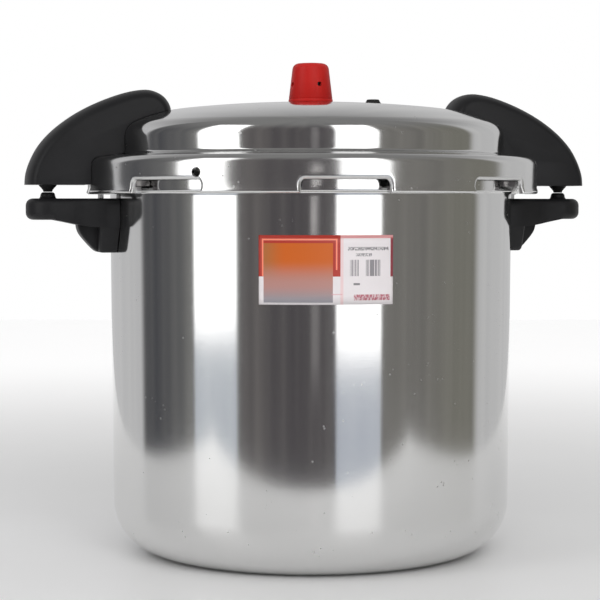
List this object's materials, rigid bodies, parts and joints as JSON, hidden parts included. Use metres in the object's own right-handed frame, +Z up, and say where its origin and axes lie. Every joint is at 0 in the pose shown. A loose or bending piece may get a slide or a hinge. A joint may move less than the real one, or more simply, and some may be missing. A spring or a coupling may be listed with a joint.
{
  "type": "pressure canner",
  "caption": "Tall aluminium pressure canner with a bayonet lid, fin-shaped black lid handles, black side grips, a regulator weight, a safety plug and a rack inside.",
  "frame": {"origin": "centre of the base, on the surface the pot stands on", "axes": "+Z up the pot's axis, the two handle pairs along +X and -X"},
  "size_m": [0.4348, 0.3454, 0.3714],
  "materials": {
    "polished_aluminium": "polished, fine spin lines",
    "bracket_steel": "satin",
    "rivet_aluminium": "satin",
    "black_handle": "satin moulded",
    "screw_steel": "plain",
    "label_paper": "printed paper",
    "gasket_rubber": "moulded",
    "insert_brass": "turned",
    "stud_rubber": "moulded",
    "pipe_brass": "turned",
    "red_cap": "satin moulded",
    "weight_metal": "cast",
    "rack_aluminium": "stamped"
  },
  "bodies": {
    "pot": {"pot_body": "polished_aluminium", "right_body_bracket": "bracket_steel", "left_body_bracket": "bracket_steel", "body_bracket_rivets": "rivet_aluminium", "right_body_handle": "black_handle", "left_body_handle": "black_handle", "body_handle_screws": "screw_steel", "front_label": "label_paper"},
    "gasket": {"sealing_gasket": "gasket_rubber"},
    "lid": {"lid_shell": "polished_aluminium", "right_lid_handle": "black_handle", "left_lid_handle": "black_handle", "lid_handle_inserts": "insert_brass", "lid_handle_screws": "screw_steel", "lid_handle_washers": "screw_steel", "lid_handle_studs": "stud_rubber", "vent_pipe": "pipe_brass", "vent_pipe_washer": "gasket_rubber", "vent_pipe_nut": "pipe_brass", "safety_plug": "stud_rubber"},
    "weight": {"weight_shell": "red_cap", "weight_base_ring": "red_cap", "weight_core": "weight_metal"},
    "rack": {"canning_rack": "rack_aluminium"}
  },
  "joints": [
    {"name": "lid_lift", "type": "slide", "parent": "pot", "child": "gasket", "axis": [0, 0, 1], "range_m": [0, 0.15]},
    {"name": "lid_turn", "type": "hinge", "parent": "gasket", "child": "lid", "pos_m": [0, 0, 0.3], "axis": [0, 0, 1], "range_deg": [0, 22.5]},
    {"name": "weight_lift", "type": "slide", "parent": "lid", "child": "weight", "axis": [0, 0, 1], "range_m": [0, 0.03]},
    {"name": "rack_lift", "type": "slide", "parent": "pot", "child": "rack", "axis": [0, 0, 1], "range_m": [0, 0.24]}
  ]
}
